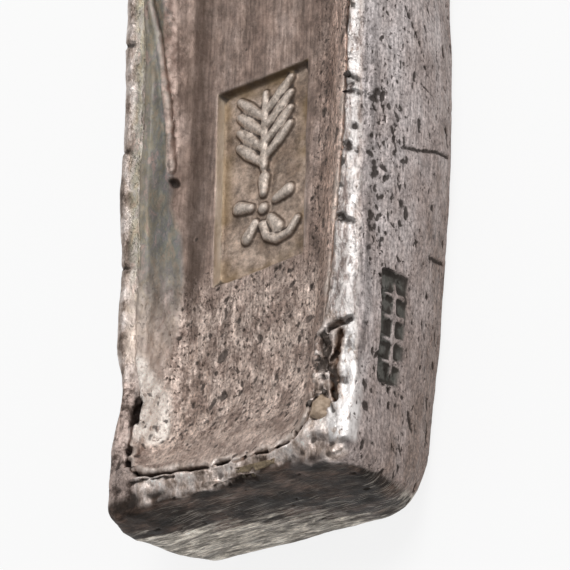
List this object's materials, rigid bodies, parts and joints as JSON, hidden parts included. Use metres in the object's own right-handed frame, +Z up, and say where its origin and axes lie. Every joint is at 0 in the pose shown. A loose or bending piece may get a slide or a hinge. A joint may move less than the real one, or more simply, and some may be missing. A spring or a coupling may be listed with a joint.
{
  "type": "silver sycee ingot",
  "caption": "Trough-shaped cast silver ingot with raised rim, flat base, struck ornamental seal in the trough and a lattice stamp on one side.",
  "frame": {"origin": "on the base plane, under the middle of the bounding box", "axes": "+Y along the length, away from the pictured end; +X across the width, towards the stamped side; +Z up, out of the trough"},
  "size_m": [0.0364, 0.0812, 0.0173],
  "materials": {
    "silver_shell": "cast silver, worn bright on the edges and tarnished in the pits",
    "silver_fill": "cast silver with a warm brown tarnish",
    "residue": "dull ochre crust"
  },
  "bodies": {
    "root": {"outer_shell": "silver_shell", "trough_fill": "silver_fill", "corner_residue": "residue", "lip_residue": "residue"}
  },
  "joints": []
}
